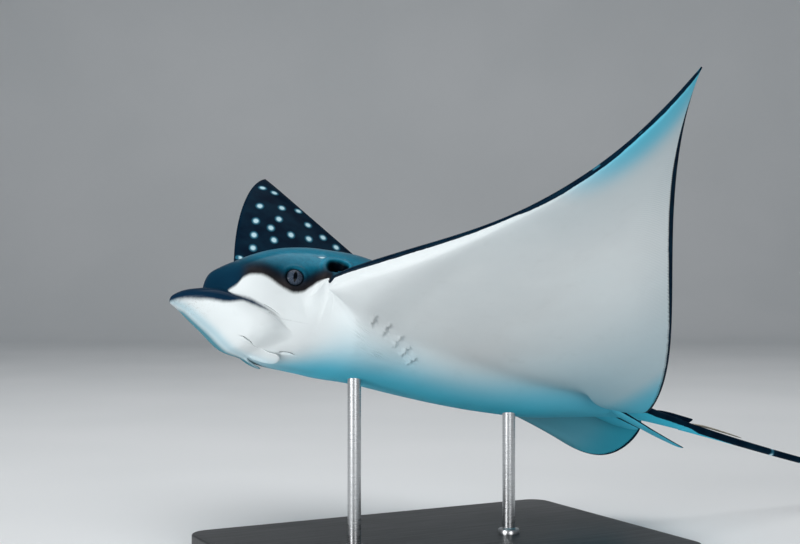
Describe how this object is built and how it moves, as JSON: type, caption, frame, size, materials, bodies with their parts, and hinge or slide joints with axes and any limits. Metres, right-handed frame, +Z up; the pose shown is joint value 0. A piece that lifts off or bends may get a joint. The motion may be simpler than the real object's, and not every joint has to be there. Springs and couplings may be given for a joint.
{
  "type": "spotted eagle ray",
  "caption": "Still life-size spotted eagle ray with raised wings, duck-like bill and whip tail, held over a flat display stand by short rods.",
  "frame": {"origin": "centre of the underside of the stand base, on the floor under the middle of the trunk", "axes": "+Z up from the floor; the ray heads towards -X with its nose raised and its left side, at -Y, raised; the tail trails towards +X"},
  "size_m": [2.7581, 1.1067, 0.5966],
  "materials": {
    "skin": "smooth wet skin, navy with pale spots above, white below",
    "eye": "clear wet eyeball, silver grey iris",
    "sting": "mottled horn",
    "stand_plate": "satin dark paint",
    "stand_rods": "brushed"
  },
  "bodies": {
    "root": {"rostral_lobe": "skin", "head": "skin", "trunk": "skin", "pectoral_fin_left": "skin", "pectoral_fin_right": "skin", "pelvic_fin_left": "skin", "pelvic_fin_right": "skin", "tail_base": "skin", "dorsal_fin": "skin", "nasal_curtain": "skin", "tail_1": "skin", "tail_2": "skin", "tail_3": "skin", "tail_4": "skin", "tail_5": "skin", "eye_left": "eye", "eye_right": "eye", "tail_sting": "sting", "stand_base": "stand_plate", "stand_rod_front": "stand_rods", "stand_rod_rear": "stand_rods"}
  },
  "joints": []
}
